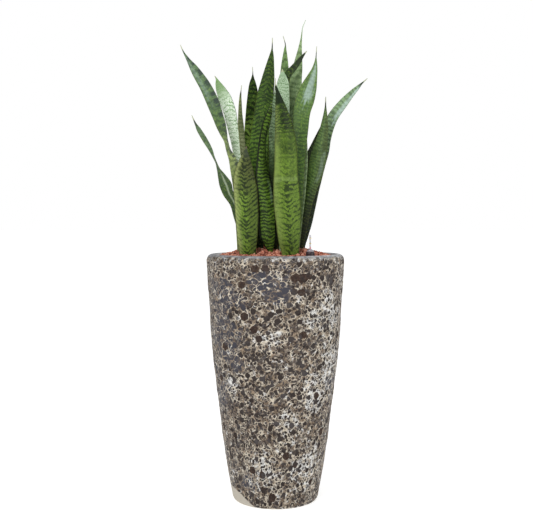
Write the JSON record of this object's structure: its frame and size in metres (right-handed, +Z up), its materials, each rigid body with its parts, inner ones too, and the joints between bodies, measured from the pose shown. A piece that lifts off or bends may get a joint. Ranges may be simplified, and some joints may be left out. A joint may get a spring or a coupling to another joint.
{
  "type": "potted ceylon bowstring hemp",
  "caption": "Tuft of banded, sword-shaped succulent leaves in clay granules, in a tall tapered planter with a cratered lava glaze and a float water gauge.",
  "frame": {"origin": "middle of the planter's flat foot, on the floor", "axes": "+Z up; -Y is the front, the side of the water gauge and the widest leaf; +X to the right seen from the front"},
  "size_m": [0.4962, 0.4235, 1.2808],
  "materials": {
    "lava_glaze": "matte",
    "clay_granules": "matte",
    "leaf_green": "satin",
    "leaf_dark": "satin",
    "leaf_grey": "satin",
    "leaf_pale": "satin",
    "rhizome_skin": "matte",
    "gauge_dark": "satin",
    "gauge_clear": "gloss",
    "gauge_white": "satin",
    "gauge_red": "gloss"
  },
  "bodies": {
    "plant": {"planter": "lava_glaze", "granule_bed": "clay_granules", "clay_lump_1": "clay_granules", "clay_lump_2": "clay_granules", "clay_lump_3": "clay_granules", "clay_lump_4": "clay_granules", "clay_lump_5": "clay_granules", "leaf_front_left": "leaf_green", "leaf_tall_left": "leaf_green", "leaf_front_centre": "leaf_green", "leaf_front_right": "leaf_green", "leaf_tall_centre": "leaf_green", "leaf_tallest": "leaf_green", "leaf_right": "leaf_green", "leaf_back_left": "leaf_green", "leaf_back_centre": "leaf_green", "leaf_back_tall": "leaf_green", "leaf_back_low": "leaf_green", "leaf_young_right": "leaf_green", "leaf_edge_on_left": "leaf_dark", "leaf_behind_left": "leaf_dark", "leaf_dark_bent": "leaf_dark", "leaf_shaded_right": "leaf_dark", "leaf_back_leaning": "leaf_dark", "leaf_far_left": "leaf_grey", "leaf_upper_left": "leaf_grey", "leaf_glossy_right": "leaf_grey", "leaf_far_right": "leaf_grey", "leaf_back_right": "leaf_grey", "leaf_pale_left": "leaf_pale", "leaf_pale_centre": "leaf_pale", "leaf_silver_centre": "leaf_pale", "rhizome_left": "rhizome_skin", "rhizome_middle": "rhizome_skin", "rhizome_centre": "rhizome_skin", "rhizome_right": "rhizome_skin", "gauge_housing": "gauge_dark", "gauge_foot": "gauge_dark", "gauge_sight_tube": "gauge_clear"},
    "float": {"gauge_float": "gauge_white", "gauge_pointer": "gauge_red"}
  },
  "joints": [
    {"name": "float_slide", "type": "slide", "parent": "plant", "child": "float", "axis": [0, 0, 1], "range_m": [0, 0.03]}
  ]
}
